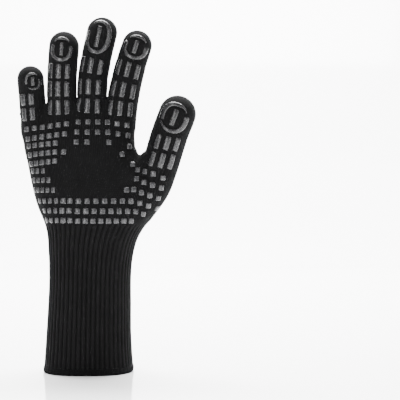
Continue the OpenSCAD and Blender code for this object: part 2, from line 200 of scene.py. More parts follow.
class Finger:
    """A finger's centre line, from inside the palm to the middle of its round end."""

    def __init__(self, name, radii, leaves, bends, knuckle):
        self.name, self.radii, self.bends = name, radii, bends
        sections = [part for part in ("base", "middle", "tip") if f"{name}_{part}_bend" in JOINTS]
        self.sections = sections
        count = len(sections)
        hinges = []
        for i, part in enumerate(sections):
            x, y, z = np.array(JOINTS[f"{name}_{part}_bend"]["pos_m"]) / MM
            r = radii[0] + (radii[1] - radii[0]) * i / count
            hinges.append((x, y + HINGE_DEPTH * r, z))
        low, high = (np.array(c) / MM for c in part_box(f"{name}_tip_shell"))
        leans_right = hinges[-1][0] > hinges[0][0]
        dome = (high[0] - radii[1] if leans_right else low[0] + radii[1],
                low[1] + radii[1], high[2] - radii[1])
        kx, kz = knuckle[0] + CUFF_X, knuckle[1]
        if name == "thumb":
            start = [np.array(c) + (CUFF_X, 0, 0) for c, _ in MOUND]
            start_r = [r for _, r in MOUND]
        else:
            start = [np.array((kx - 1.5, 0, kz - START_DROP)), np.array((kx, 0, kz))]
            start_r = [radii[0] - thinner for thinner in START_THINNER]
        places = np.array([*start, *hinges, dome], float)
        steps = np.r_[0, np.cumsum(np.linalg.norm(np.diff(places, axis=0), axis=1))]
        root_r = [radii[0] + (radii[1] - radii[0]) * i / count for i in range(count)]
        known = np.c_[steps, places, start_r + root_r + [radii[1]]]
        self.s = np.arange(0, steps[-1], 0.5)
        fine = through(known, self.s)
        self.points = fine[:, :3]
        self.r = fine[:, 3]
        self.hinge_s = steps[2:-1]
        self.end = self.s[-1]
        self.cut = self.hinge_s[0] + leaves
        self.first = self.cut + (WEB_REACH if name == "thumb" else 0)
        self.joins = 0 if name == "thumb" else self.hinge_s[0] - JOIN_DROP

    def at(self, s):
        """Centre, direction along the finger, direction across it and out of its back."""
        s = np.asarray(s, float)
        inside = np.clip(s, 0, self.end)
        c = np.stack([np.interp(inside, self.s, self.points[:, i]) for i in range(3)], -1)
        slope = np.gradient(self.points, self.s, axis=0)
        along = np.stack([np.interp(inside, self.s, slope[:, i]) for i in range(3)], -1)
        along /= np.linalg.norm(along, axis=-1, keepdims=True)
        across = np.cross(np.array((0.0, 1.0, 0.0)), along)
        across /= np.linalg.norm(across, axis=-1, keepdims=True)
        back = np.cross(along, across)
        return c, along, across, back

    def surface(self, s, turn, inset=0.0):
        """Points and normals at s along the finger and turn round it, 0 at the palm side.
        Past the end of the centre line, s goes over the round end."""
        s, turn = np.broadcast_arrays(np.asarray(s, float), np.asarray(turn, float))
        c, along, across, back = self.at(s)
        r = np.interp(np.clip(s, 0, self.end), self.s, self.r) - inset
        over = np.clip((s - self.end) / self.radii[1], 0, math.pi / 2)
        out = np.sin(turn)[..., None] * across - np.cos(turn)[..., None] * back
        normal = np.cos(over)[..., None] * out + np.sin(over)[..., None] * along
        return c + r[..., None] * normal, normal

    @property
    def tip_s(self):
        return self.end + self.radii[1] * math.pi / 2


HAND = {name: Finger(name, **facts) for name, facts in FINGERS.items()}


# ---- a signed distance for the palm, the thumb's mound and the roots of the fingers ----

# The webs between the fingers sit lower towards the two outer fingers: the X of the highest
# place, and how far they sag how far away from it, on the little finger's side and the other
WEB_MIDDLE = -11
WEB_SAGS = ((5.4, 32), (1.0, 29))


def palm_distance(p):
    x, y, z = p[:, 0], p[:, 1], p[:, 2]
    from_middle = x - (CUFF_X + WEB_MIDDLE)
    little_side, index_side = (fall * (from_middle / away) ** 2 for fall, away in WEB_SAGS)
    sag = np.where(from_middle < 0, little_side, index_side)
    lifted = z + sag * smooth((z - 228) / 24)
    cx, half, depth = section(np.clip(lifted, 100, SECTIONS[-1, 0]))
    u, v = np.abs(x - cx) / half, np.abs(y) / depth
    n = SQUARENESS
    g = (u**n + v**n + 1e-12) ** (1 / n)
    slope = np.hypot(u ** (n - 1) / half, v ** (n - 1) / depth) / g ** (n - 1)
    side = (g - 1) / np.maximum(slope, 1e-4)
    return np.maximum(side, lifted - WEB_TOP)


def chain_distance(p, centres, radii):
    """Distance to a row of balls, joined by cones."""
    best = np.full(len(p), 1e3)
    for a, b, ra, rb in zip(centres[:-1], centres[1:], radii[:-1], radii[1:]):
        d = b - a
        t = np.clip((p - a) @ d / max(d @ d, 1e-9), 0, 1)
        gap = np.linalg.norm(p - a - t[:, None] * d, axis=1) - (ra + (rb - ra) * t)
        best = np.minimum(best, gap)
    return best


def part_of(finger, start, stop, spacing=3.0):
    ids = np.searchsorted(finger.s, np.arange(start, stop, spacing))
    ids = np.minimum(ids, len(finger.s) - 1)
    return finger.points[ids], finger.r[ids]


def join(a, b, k):
    h = np.maximum(k - np.abs(a - b), 0) / np.maximum(k, 1e-6)
    return np.minimum(a, b) - h * h * k / 4


# How wide the rounded hollow is between the palm and a finger, and the palm and the thumb
FINGER_HOLLOW = 5.0
THUMB_HOLLOW = 19.5


def hand_distance(p):
    """Below 0 inside the palm. Its hollows end where each finger leaves it, except at the
    thumb, where the web beside it goes on up."""
    d = palm_distance(p)
    for name, finger in HAND.items():
        c, along, _, _ = finger.at(finger.cut)
        below = (c - p) @ along
        chain = part_of(finger, finger.joins, finger.first + 18)
        if name == "thumb":
            k = THUMB_HOLLOW * smooth((below + 14) / 9) * smooth((p[:, 2] - 150) / 34)
        else:
            k = FINGER_HOLLOW * smooth((below - 0.6) / 11)
        d = join(d, chain_distance(p, *chain), k + 0.05)
    return d


def gradient(distance, p, h=0.25):
    g = np.stack([distance(p + e) - distance(p - e) for e in np.eye(3) * h], 1)
    return g / (2 * h)


def onto(distance, p, rounds=3):
    """Moves points on to a surface, and gives its normals there."""
    for _ in range(rounds):
        g = gradient(distance, p)
        p = p - (distance(p) / np.maximum((g * g).sum(1), 1e-3))[:, None] * g
    return p, unit(gradient(distance, p))


def grid_values(distance, low, high, step):
    """The distance at every grid point, worked out finely only near the surface."""
    axes = [np.arange(a, b, step) for a, b in zip(low, high)]
    coarse = 4
    rough_axes = [axis[::coarse] for axis in axes]
    rough = distance(np.stack(np.meshgrid(*rough_axes, indexing="ij"), -1).reshape(-1, 3))
    rough = rough.reshape([len(a) for a in rough_axes])
    values = rough
    for i, axis in enumerate(axes):
        values = np.repeat(values, coarse, axis=i).take(range(len(axis)), axis=i)
    near = np.abs(values) < coarse * step * 2.2
    where = np.argwhere(near)
    points = np.stack([axes[i][where[:, i]] for i in range(3)], 1)
    values = values.copy()
    values[near] = distance(points)
    return values


def surface_net(values, low, step):
    """Quads round the zero level of a grid, one vertex to each cell that it crosses."""
    inside = values < 0
    corners = [(i, j, k) for i in (0, 1) for j in (0, 1) for k in (0, 1)]
    size = np.array(values.shape) - 1
    piece = {c: inside[c[0]:c[0] + size[0], c[1]:c[1] + size[1], c[2]:c[2] + size[2]]
             for c in corners}
    total = sum(piece[c].astype(np.int8) for c in corners)
    cells = np.argwhere((total > 0) & (total < 8))
    number = np.full(size, -1, np.int64)
    number[tuple(cells.T)] = np.arange(len(cells))
    sums, counts = np.zeros((len(cells), 3)), np.zeros(len(cells))
    for a in corners:
        for axis in range(3):
            if a[axis]:
                continue
            b = tuple(1 if i == axis else a[i] for i in range(3))
            va, vb = values[tuple((cells + a).T)], values[tuple((cells + b).T)]
            crossed = (va < 0) != (vb < 0)
            t = va / np.where(crossed, va - vb, 1)
            place = np.array(a, float) + t[:, None] * (np.array(b) - a)
            sums += np.where(crossed[:, None], place, 0)
            counts += crossed
    verts = np.array(low) + (cells + sums / counts[:, None]) * step
    quads = []
    for axis in range(3):
        u, v = [i for i in range(3) if i != axis]
        shift = np.eye(3, dtype=int)
        start = np.argwhere(np.diff(inside, axis=axis))
        start = start[(start[:, u] > 0) & (start[:, v] > 0)]
        start = start[(start[:, u] < size[u]) & (start[:, v] < size[v])]
        around = [start - shift[u] - shift[v], start - shift[v], start, start - shift[u]]
        ring = np.stack([number[tuple(c.T)] for c in around], 1)
        outward = inside[tuple(start.T)] ^ (axis == 1)
        ring[~outward] = ring[~outward][:, ::-1]
        quads.append(ring)
    quads = np.concatenate(quads)
    return verts, quads[(quads >= 0).all(1)]


# ---- making meshes ----

def new_piece(name, verts, faces, material=None, normals=None):
    """A smooth mesh object from points in millimetres."""
    mesh = bpy.data.meshes.new(name)
    faces = faces.tolist() if isinstance(faces, np.ndarray) else faces
    mesh.from_pydata((np.asarray(verts) * MM).tolist(), [], faces)
    mesh.polygons.foreach_set("use_smooth", np.ones(len(mesh.polygons), bool))
    mesh.update()
    if normals is not None:
        mesh.normals_split_custom_set_from_vertices(np.asarray(normals).tolist())
    obj = bpy.data.objects.new(name, mesh)
    bpy.context.scene.collection.objects.link(obj)
    if material:
        mesh.materials.append(material)
    return obj


def grid_faces(rows, columns, closed=False):
    """Quads of a grid of points numbered row by row. closed joins the last column to the first."""
    r = np.arange(rows - 1)[:, None]
    c = np.arange(columns if closed else columns - 1)[None, :]
    following = (c + 1) % columns
    quads = np.stack([r * columns + c, r * columns + following,
                      (r + 1) * columns + following, (r + 1) * columns + c], -1)
    return quads.reshape(-1, 4)


def ripple(u, v, scale, seed):
    """A smooth uneven height between -1 and 1."""
    total = np.zeros_like(u)
    for i in range(5):
        a = 2.399 * (i + seed)
        f = (0.8 + 0.37 * i) / scale
        total += np.sin(f * (u * math.cos(a) + v * math.sin(a)) + 1.7 * seed + 2.1 * i)
    return total / 5


# ---- materials ----

class Nodes:
    """Short names for building a material's nodes."""

    def __init__(self, name):
        self.material = bpy.data.materials.new(name)
        self.material.use_nodes = True
        self.tree = self.material.node_tree
        self.shader = self.tree.nodes["Principled BSDF"]

    def add(self, kind, **values):
        node = self.tree.nodes.new(kind)
        for key, value in values.items():
            setattr(node, key, value)
        return node

    def link(self, source, target):
        self.tree.links.new(source, target)

    def put(self, socket, value):
        if isinstance(value, bpy.types.NodeSocket):
            self.link(value, socket)
        else:
            socket.default_value = value

    def math(self, operation, a, b=0.0, c=0.0):
        node = self.add("ShaderNodeMath", operation=operation)
        for socket, value in zip(node.inputs, (a, b, c)):
            self.put(socket, value)
        return node.outputs[0]

    def noise(self, vector, scale, detail=2.0, roughness=0.5):
        node = self.add("ShaderNodeTexNoise")
        self.put(node.inputs["Vector"], vector)
        self.put(node.inputs["Scale"], scale)
        self.put(node.inputs["Detail"], detail)
        self.put(node.inputs["Roughness"], roughness)
        return node.outputs["Fac"]

    def spread(self, value, low, high, to_low, to_high):
        node = self.add("ShaderNodeMapRange")
        for key, v in (("Value", value), ("From Min", low), ("From Max", high),
                       ("To Min", to_low), ("To Max", to_high)):
            self.put(node.inputs[key], v)
        return node.outputs["Result"]

    def ramp(self, value, *stops):
        node = self.add("ShaderNodeValToRGB")
        elements = node.color_ramp.elements
        while len(elements) < len(stops):
            elements.new(0.5)
        for element, (place, colour) in zip(elements, stops):
            element.position = place
            element.color = (*colour, 1)
        self.put(node.inputs["Fac"], value)
        return node.outputs["Color"]

    def bump(self, height, strength, distance):
        node = self.add("ShaderNodeBump")
        node.inputs["Strength"].default_value = strength
        node.inputs["Distance"].default_value = distance
        self.put(node.inputs["Height"], height)
        self.link(node.outputs["Normal"], self.shader.inputs["Normal"])

    def finish(self, **values):
        for key, value in values.items():
            self.put(self.shader.inputs[key.replace("_", " ")], value)
        return self.material


def knit_material(name, dark, light, wale=1.5, course=1.15, depth=0.00028, fuzz=0.35,
                  rib=None):
    """Weft knit: columns of V stitches, with the yarn's fuzz, slight uneven dye and painted shade
    in the hollows between stitches. rib is the distance between the cloth's ribs, whose valleys
    get painted shade."""
    n = Nodes(name)
    uv = n.add("ShaderNodeUVMap", uv_map="cloth").outputs["UV"]
    place = n.add("ShaderNodeTexCoord").outputs["Object"]
    split = n.add("ShaderNodeSeparateXYZ")
    n.link(uv, split.inputs[0])
    wobble = n.noise(place, 260.0, 1.0)
    across = n.math("ADD", n.math("DIVIDE", split.outputs[0], wale),
                    n.math("MULTIPLY", wobble, 0.25))
    off = n.math("ABSOLUTE", n.math("SUBTRACT", n.math("FRACT", across), 0.5))
    ridge = n.math("SUBTRACT", 1.0, n.math("MULTIPLY", n.math("POWER", off, 2.0), 4.0))
    phase = n.math("ADD", n.math("DIVIDE", split.outputs[1], course),
                   n.math("MULTIPLY", off, 1.3))
    loop = n.math("SINE", n.math("MULTIPLY", phase, 2 * math.pi))
    stitch = n.math("MULTIPLY_ADD", loop, 0.28, 0.72)
    height = n.math("MULTIPLY", ridge, stitch)
    yarn = n.noise(place, 2600.0, 3.0, 0.7)
    height = n.math("ADD", height, n.math("MULTIPLY", yarn, fuzz))
    patches = n.noise(place, 45.0, 3.0, 0.6)
    # Painted shade: the stitches' hollows are darker and their ridges lighter, mixed with uneven
    # dye patches
    shade = n.math("ADD", n.math("MULTIPLY", height, 0.55), n.math("MULTIPLY", patches, 0.5))
    # Painted shade: the valleys between the ribs are darkened
    if rib:
        wave = n.math("SINE", n.math("MULTIPLY", split.outputs[0], math.pi / rib))
        crown = n.math("POWER", n.math("ABSOLUTE", wave), 0.75)
        shade = n.math("MULTIPLY", shade, n.spread(crown, 0.1, 0.95, 0.35, 1.15))
    colour = n.ramp(shade, (0.15, dark), (0.95, light))
    n.bump(height, 0.9, depth)
    rough = n.spread(yarn, 0.3, 0.7, 0.82, 0.97)
    return n.finish(Base_Color=colour, Roughness=rough, Specular_IOR_Level=0.05,
                    Sheen_Weight=0.012, Sheen_Roughness=0.5, Sheen_Tint=(0.8, 0.82, 0.86, 1))


def silicone_material():
    """Printed silicone: semi-gloss, uneven over the knit, darker at its thin edges, and lighter or
    darker by a painted highlight set for each kind of pad.
    """
    n = Nodes("silicone")
    place = n.add("ShaderNodeTexCoord").outputs["Object"]
    fine = n.noise(place, 380.0, 1.0, 0.4)
    broad = n.noise(place, 110.0, 1.0)
    edge = n.add("ShaderNodeAttribute", attribute_name="thin").outputs["Fac"]
    # The pale attribute is a painted highlight, set for each kind of pad
    pale = n.add("ShaderNodeAttribute", attribute_name="pale").outputs["Fac"]
    tone = n.math("ADD", n.math("MULTIPLY", fine, 0.3), n.math("MULTIPLY", broad, 0.3))
    tone = n.math("ADD", tone, n.math("MULTIPLY", pale, 0.5))
    tone = n.math("SUBTRACT", tone, n.math("MULTIPLY", edge, 0.5))
    colour = n.ramp(tone, (0.0, (0.004, 0.004, 0.0045)), (1.0, (0.024, 0.024, 0.0255)))
    n.bump(n.math("ADD", fine, n.math("MULTIPLY", broad, 1.5)), 0.55, 0.0005)
    rough = n.spread(fine, 0.3, 0.7, 0.2, 0.32)
    return n.finish(Base_Color=colour, Roughness=rough, Specular_IOR_Level=0.36)


KNIT = knit_material("knit", (0.0008, 0.0008, 0.0009), (0.0048, 0.0048, 0.005))
RIB = knit_material("rib_knit", (0.0006, 0.0006, 0.0007), (0.0062, 0.0062, 0.0064),
                    wale=RIB_PITCH / 3, course=1.2, rib=RIB_PITCH)
HEM = knit_material("hem_knit", (0.0006, 0.0006, 0.0007), (0.0038, 0.0038, 0.004),
                    wale=RIB_PITCH / 3, course=1.0)
COTTON = knit_material("cotton", (0.22, 0.22, 0.21), (0.36, 0.36, 0.345), wale=1.2,
                       course=0.9, fuzz=0.6)
SILICONE = silicone_material()


# ---- the palm ----

def plane_cut(bm, centre, direction, near=None, clear=True):
    """Cuts a mesh at a plane, and takes away what is beyond it if clear."""
    chosen = [f for f in bm.faces if near is None or near(np.array(f.calc_center_median()) / MM)]
    edges = {e for f in chosen for e in f.edges}
    corners = {v for e in edges for v in e.verts}
    bmesh.ops.bisect_plane(bm, geom=[*corners, *edges, *chosen], dist=1e-6,
                           plane_co=Vector(centre) * MM, plane_no=Vector(direction),
                           clear_outer=clear)


def keep_faces(bm, wanted):
    others = [f for f in bm.faces if not wanted(np.array(f.calc_center_median()) / MM)]
    bmesh.ops.delete(bm, geom=others, context="FACES")


def round_finger(finger):
    """A test for points near the part of a finger that is above its cut."""
    c, along, _, _ = finger.at(finger.cut)

    def near(point):
        d = point - c
        ahead = d @ along
        reach = finger.radii[0] + 1.2 + max(0, ahead) * 0.3
        return ahead > -3 and np.linalg.norm(d - ahead * along) < reach

    return near


def finish_hand_piece(bm, name, distance, material, mapping):
    piece = new_piece(name, [], [])
    mesh = piece.data
    bm.to_mesh(mesh)
    bm.free()
    co = np.empty(len(mesh.vertices) * 3)
    mesh.vertices.foreach_get("co", co)
    co = co.reshape(-1, 3) / MM
    mesh.polygons.foreach_set("use_smooth", np.ones(len(mesh.polygons), bool))
    mapping(mesh, co)
    mesh.update()
    mesh.normals_split_custom_set_from_vertices(unit(gradient(distance, co)).tolist())
    mesh.materials.append(material)
    return piece


def hand_net(distance, step):
    low = (CUFF_X - 72, -40.0, RIB_TOP - 4)
    high = (CUFF_X + 96, 40.0, 296.0)
    verts, quads = surface_net(grid_values(distance, low, high, step), low, step)
    verts, _ = onto(distance, verts, 2)
    bm = bmesh.new()
    scratch = new_piece("net", verts, quads)
    bm.from_mesh(scratch.data)
    bpy.data.objects.remove(scratch)
    plane_cut(bm, (0, 0, RIB_TOP), (0, 0, -1))
    for finger in HAND.values():
        c, along, _, _ = finger.at(finger.cut)
        if finger.name != "thumb":
            plane_cut(bm, c, along, round_finger(finger))
    return bm


def make_palm():
    """The palm, and the web beside the thumb as a piece of its own. They share a cut edge."""
    bm = hand_net(hand_distance, 1.0)
    thumb = HAND["thumb"]
    c, along, across, _ = thumb.at(thumb.cut)
    inner_side = c - (thumb.radii[0] + 3.4) * across

    def thumb_side(point):
        return point[0] > inner_side[0] and (point - c) @ along > -6

    plane_cut(bm, c, along, thumb_side, clear=False)
    web = bm.copy()

    def above(point):
        return point[0] > inner_side[0] and (point - c) @ along > 0

    keep_faces(bm, lambda point: not above(point))
    keep_faces(web, above)
    plane_cut(web, thumb.at(thumb.first)[0], thumb.at(thumb.first)[1])
    palm = finish_hand_piece(bm, "palm_knit", hand_distance, KNIT, palm_map)
    root = finish_hand_piece(web, "thumb_root_knit", hand_distance, KNIT, thumb_map)
    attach(palm, "palm")
    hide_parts("palm_shell")
    bend(root, thumb, 0)
    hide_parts("thumb_base_shell")

    def inner(p):
        return hand_distance(p) + LINING_DEPTH

    bm = hand_net(inner, 2.2)
    plane_cut(bm, c, along, thumb_side)
    lining = finish_hand_piece(bm, "palm_cotton", inner, COTTON, palm_map)
    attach(lining, "palm")
    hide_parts("palm_liner")


def set_map(mesh, u, v, period):
    """Cloth coordinates from a value round the glove and one along it, for each vertex.
    Every face is kept on one side of the join, where u starts again."""
    index = np.empty(len(mesh.loops), int)
    mesh.loops.foreach_get("vertex_index", index)
    starts = np.empty(len(mesh.polygons), int)
    totals = np.empty(len(mesh.polygons), int)
    mesh.polygons.foreach_get("loop_start", starts)
    mesh.polygons.foreach_get("loop_total", totals)
    reference = np.repeat(u[index[starts]], totals)
    around = u[index]
    around = around + period * np.round((reference - around) / period)
    layer = mesh.uv_layers.new(name="cloth")
    layer.data.foreach_set("uv", np.stack([around, v[index]], 1).astype(np.float32).ravel())


def palm_map(mesh, co):
    """Cloth coordinates round and up the palm, joined behind it."""
    cx, half, depth = section(np.clip(co[:, 2], 100, 250))
    turn = np.arctan2((co[:, 0] - cx) / half, -co[:, 1] / depth)
    set_map(mesh, turn * PALM_GIRTH, co[:, 2], 2 * math.pi * PALM_GIRTH)


def thumb_map(mesh, co):
    thumb = HAND["thumb"]
    c, along, across, back = thumb.at(thumb.cut)
    d = co - c
    turn = np.arctan2(d @ across, -(d @ back))
    r = thumb.radii[0]
    set_map(mesh, turn * r, thumb.cut + d @ along, 2 * math.pi * r)


# ---- the fingers ----

SIDES = 80
TUCK = 1.2


def tube(finger, name, start, stop, material, inset=0.0, tucked=False):
    """The knit round a finger from start to stop. tucked starts it a little way under the palm."""
    step = 0.9
    rows = np.arange(start, stop, step)
    rows = np.r_[rows[rows < stop - step / 2], stop]
    shrink = np.zeros(len(rows))
    if tucked:
        rows = np.r_[start - TUCK, rows]
        shrink = np.r_[0.35, shrink]
    turn = np.linspace(-math.pi, math.pi, SIDES, endpoint=False) + math.pi / SIDES
    s, t = np.meshgrid(rows, turn, indexing="ij")
    p, n = finger.surface(s, t, inset)
    away = smooth((s - finger.first - 1) / 8) * (1 - smooth((s - finger.end) / 9))
    uneven = ripple(t * finger.radii[0], s, 5.0, 3 + len(finger.name))
    crease = sum(np.exp(-(((s - h) / 1.6) ** 2)) for h in finger.hinge_s[1:])
    p = p + n * ((0.22 * uneven - 0.16 * crease) * away)[..., None]
    p = p - n * shrink[:, None, None]
    verts = p.reshape(-1, 3)
    normals = n.reshape(-1, 3)
    u, v = (t * finger.radii[0]).ravel(), s.ravel()
    faces = grid_faces(len(rows), SIDES, closed=True)
    if stop >= finger.tip_s - 1e-6:
        first = (len(rows) - 1) * SIDES
        verts = np.r_[verts[:first], [verts[first:].mean(0)]]
        normals = np.r_[normals[:first], [unit(normals[first:].mean(0))]]
        u, v = (np.r_[a[:first], a[first + SIDES // 2]] for a in (u, v))
        faces = faces[: -SIDES].tolist()
        last = first - SIDES
        faces += [[last + i, last + (i + 1) % SIDES, first] for i in range(SIDES)]
    piece = new_piece(name, verts, faces, material, normals)
    set_map(piece.data, u, v, 2 * math.pi * finger.radii[0])
    return piece


def bodies_at(finger, i):
    """The bodies below and above a finger's hinge i."""
    names = ["palm"] + [f"{finger.name}_{part}" for part in finger.sections]
    return names[i], names[i + 1]


def bend(piece, finger, i):
    """Works out the zone just above the finger's hinge i and the bodies below and above it, and
    bakes the piece's transform into its mesh.
    """
    start = finger.cut + 0.3 if i == 0 else finger.hinge_s[i]
    stop = start + finger.bends
    a, along, _, _ = finger.at(start)
    low = Vector(a) * MM
    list(bodies_at(finger, i))
    low + Vector(along) * (stop - start) * MM
    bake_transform(piece)


def make_finger(finger):
    count = len(finger.sections)
    borders = [finger.first] + [finger.hinge_s[i] - 0.9 for i in range(1, count)] + [finger.tip_s]
    for i, part in enumerate(finger.sections):
        name = f"{finger.name}_{part}"
        piece = tube(finger, f"{name}_knit", borders[i], borders[i + 1], KNIT, tucked=i == 0)
        bend(piece, finger, i)
        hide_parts(f"{name}_shell")
        low = finger.cut if i == 0 else borders[i]
        lining = tube(finger, f"{name}_cotton", low, borders[i + 1], COTTON,
                      inset=LINING_DEPTH, tucked=i == 0)
        bend(lining, finger, i)
        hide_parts(f"{name}_liner")


# ---- the cuff ----

def rib_height(phase):
    """Rounded ribs with narrow valleys between them: 0 on a rib, -1 in a valley."""
    return -((1 - np.abs(np.sin(math.pi * phase)) ** 0.75))


def sleeve(name, turns, rows, height, material, inset, reach):
    """A closed tube of cloth: its outer side, its rim at the bottom, and its inner side."""
    columns = len(turns)
    z, t = np.meshgrid(rows, turns, indexing="ij")
    outer, n = outline(t, z, inset)
    outer = outer + n * height[..., None]
    inner, _ = outline(t[::-1], z[::-1], inset + reach)
    points = np.r_[outer[::-1], inner[::-1]]
    rings = len(points)
    faces = grid_faces(rings, columns, closed=True)[:, ::-1]
    u = np.broadcast_to(np.arange(columns) / columns * RIBS * RIB_PITCH, (rings, columns))
    piece = new_piece(name, points.reshape(-1, 3), faces, material)
    set_map(piece.data, u.ravel(), points[..., 2].ravel(), RIBS * RIB_PITCH)
    return piece


def bend_wrist(piece):
    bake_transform(piece)


def make_cuff():
    turns = even_turns(RIBS * RIB_POINTS)[0]
    phase = np.arange(len(turns)) / RIB_POINTS
    rows = np.r_[np.arange(HEM_TOP - 1.5, 96, 3.0), np.arange(96, RIB_TOP + 2, 1.5), RIB_TOP + 2.6]
    z = np.broadcast_to(rows[:, None], (len(rows), len(turns)))
    fade = smooth((RIB_TOP + 0.5 - z) / 5.0) * (0.55 + 0.45 * smooth((z - HEM_TOP) / 6))
    tuck = 0.45 * smooth((z - RIB_TOP + 0.6) / 1.2)
    ribs = RIB_DEPTH * fade * rib_height(np.broadcast_to(phase, z.shape))
    swell = 0.35 * ripple(np.broadcast_to(phase * 4.3, z.shape), z, 24.0, 2)
    swell = swell * smooth((RIB_TOP - 12 - z) / 20)
    height = ribs + swell - tuck + 0.25 * fade
    cuff = sleeve("cuff_knit", turns, rows, height, RIB, 0.0, LINING_DEPTH)
    bend_wrist(cuff)
    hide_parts("cuff_shell", "wrist_shell")


def make_cotton_sleeve():
    turns = even_turns(96)[0]
    rows = np.r_[np.arange(2.5, 96, 6.0), np.arange(96, RIB_TOP + 8, 2.5)]
    height = np.zeros((len(rows), len(turns)))
    lining = sleeve("cuff_cotton", turns, rows, height, COTTON, 2.1, 1.3)
    bend_wrist(lining)
    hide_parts("cuff_liner", "wrist_liner")


def make_hem():
    """The hem: the ribbed edge rolled outwards and back into the cuff, one closed ring."""
    turns, around = even_turns(RIBS * RIB_POINTS)
    phase = np.arange(len(turns)) / RIB_POINTS
    half_h = HEM_TOP / 2
    wall, steps = 2.2, 28
    rings = []
    for i in range(steps):
        a = 2 * math.pi * i / steps
        # A tall rounded ring section, flat where it stands
        out = wall * np.sign(math.cos(a)) * abs(math.cos(a)) ** 0.75
        up = half_h * np.sign(math.sin(a)) * abs(math.sin(a)) ** 0.7
        z = np.full(len(turns), half_h + up)
        p, n = outline(turns, np.clip(z, 0, 8))
        outer_side = max(0.0, math.cos(a))
        rib = 0.42 * RIB_DEPTH * outer_side * rib_height(phase)
        rings.append(p + n * (out - wall + 0.95 + rib)[:, None])
    verts = np.array(rings).reshape(-1, 3)
    faces = grid_faces(steps, len(turns), closed=True)
    last = (steps - 1) * len(turns)
    closing = [[last + c, last + (c + 1) % len(turns), (c + 1) % len(turns), c]
               for c in range(len(turns))]
    u = np.broadcast_to(np.arange(len(turns)) / len(turns) * around, (steps, len(turns)))
    v = np.broadcast_to(np.arange(steps)[:, None] * 0.75, (steps, len(turns)))
    hem = new_piece("cuff_hem_roll", verts, faces.tolist() + closing, HEM)
    set_map(hem.data, u.ravel(), v.ravel(), around)
    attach(hem, "cuff")
    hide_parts("cuff_hem")


# ---- the silicone grips ----

GRIP_HEIGHT = 1.05
PROFILE = np.array([-1, -0.97, -0.9, -0.78, -0.6, -0.3, 0, 0.3, 0.6, 0.78, 0.9, 0.97, 1])


def dome_shape(u, v):
    """The height of a printed grip, from 0 at its edge to 1 in its middle."""
    edge = (1 - np.abs(u) ** 3.4) * (1 - np.abs(v) ** 5)
    return np.clip(edge, 0, 1) ** 0.42


def wobble(seed):
    """A repeatable small number between -1 and 1, different for each pad."""
    return math.sin(seed * 12.9898) * 0.6 + math.sin(seed * 4.1414) * 0.4


class Grips:
    """Collects pads into one mesh."""

    def __init__(self):
        self.verts, self.faces, self.thin, self.pale = [], [], [], []
        self.count = 0

    def add(self, points, normals, u, v, pale):
        """points are on the knit. u and v run from -1 to 1 across and along the pad."""
        lift = dome_shape(u, v)
        high = GRIP_HEIGHT * lift - 0.35 * (1 - lift)
        verts = points + normals * high[..., None]
        rows, columns = u.shape
        faces = grid_faces(rows, columns)
        self.faces.append(faces + self.count)
        self.verts.append(verts.reshape(-1, 3))
        self.thin.append((1 - lift).ravel())
        # Painted highlight for this kind of pad, with a small random difference for each pad
        shade = pale + 0.12 * wobble(self.count * 0.01)
        self.pale.append(np.full(rows * columns, shade))
        self.count += rows * columns

    def make(self, name):
        piece = new_piece(name, np.concatenate(self.verts), np.concatenate(self.faces), SILICONE)
        for key, values in (("thin", self.thin), ("pale", self.pale)):
            layer = piece.data.attributes.new(key, "FLOAT", "POINT")
            layer.data.foreach_set("value", np.concatenate(values).astype(np.float32))
        return piece


def pad_grid(width, length, rounding=0.10):
    """Points of a pad in its own plane: u, v from -1 to 1, and x, y in millimetres."""
    v, u = np.meshgrid(PROFILE, PROFILE, indexing="ij")
    x = u * width / 2 * (1 - rounding * np.abs(v) ** 5)
    y = v * length / 2 * (1 - rounding * np.abs(u) ** 5 * width / length)
    return u, v, x, y


def dot_places(node):
    """The middle of each separate square in a CAD node, in millimetres."""
    mesh = frame["nodes"][node].data
    co = np.array([v.co for v in mesh.vertices]) / MM
    parent = list(range(len(co)))

    def root(i):
        while parent[i] != i:
            parent[i] = parent[parent[i]]
            i = parent[i]
        return i

    weld = {}
    for i, p in enumerate(co):
        key = tuple(np.round(p, 2))
        parent[root(i)] = root(weld.setdefault(key, i))
    for polygon in mesh.polygons:
        first = root(polygon.vertices[0])
        for other in polygon.vertices[1:]:
            parent[root(other)] = first
    groups = {}
    for i in range(len(co)):
        groups.setdefault(root(i), []).append(i)
    return [co[ids].mean(0) for ids in groups.values()]


DOT_SIZE = 5.6
# Left of this X and below this height on the palm, the squares are narrower
OUTER_HEEL = (-28, 200)
NARROW = 0.78
# Painted highlight: how much lighter the silicone is made on each kind of pad and each row of bars
PAINTED_GLINT = {"dots": 0.95, "bars": (0.5, 0.35, 0.0), "tips": -0.1}


def make_dots(name, node):
    grips = Grips()
    u, v, x, y = pad_grid(DOT_SIZE, DOT_SIZE, 0.08)
    for i, place in enumerate(sorted(map(tuple, dot_places(node)))):
        centre, normal = onto(hand_distance, np.array([place]), 4)
        normal = normal[0]
        up = unit(np.array((0, 0, 1.0)) - normal[2] * normal)
        across = np.cross(up, normal)
        angle = 0.03 * wobble(i)
        up, across = (math.cos(angle) * up + math.sin(angle) * across,
                      math.cos(angle) * across - math.sin(angle) * up)
        size = 1 + 0.03 * wobble(i + 0.5)
        outer_heel = centre[0][0] - CUFF_X < OUTER_HEEL[0] and centre[0][2] < OUTER_HEEL[1]
        narrow = NARROW if outer_heel else 1.0
        flat = centre[0] + size * (narrow * x[..., None] * across + y[..., None] * up)
        p, n = onto(hand_distance, flat.reshape(-1, 3), 2)
        grips.add(p.reshape(flat.shape), n.reshape(flat.shape), u, v, PAINTED_GLINT["dots"])
    piece = grips.make(name)
    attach(piece, "palm")
    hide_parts(node)


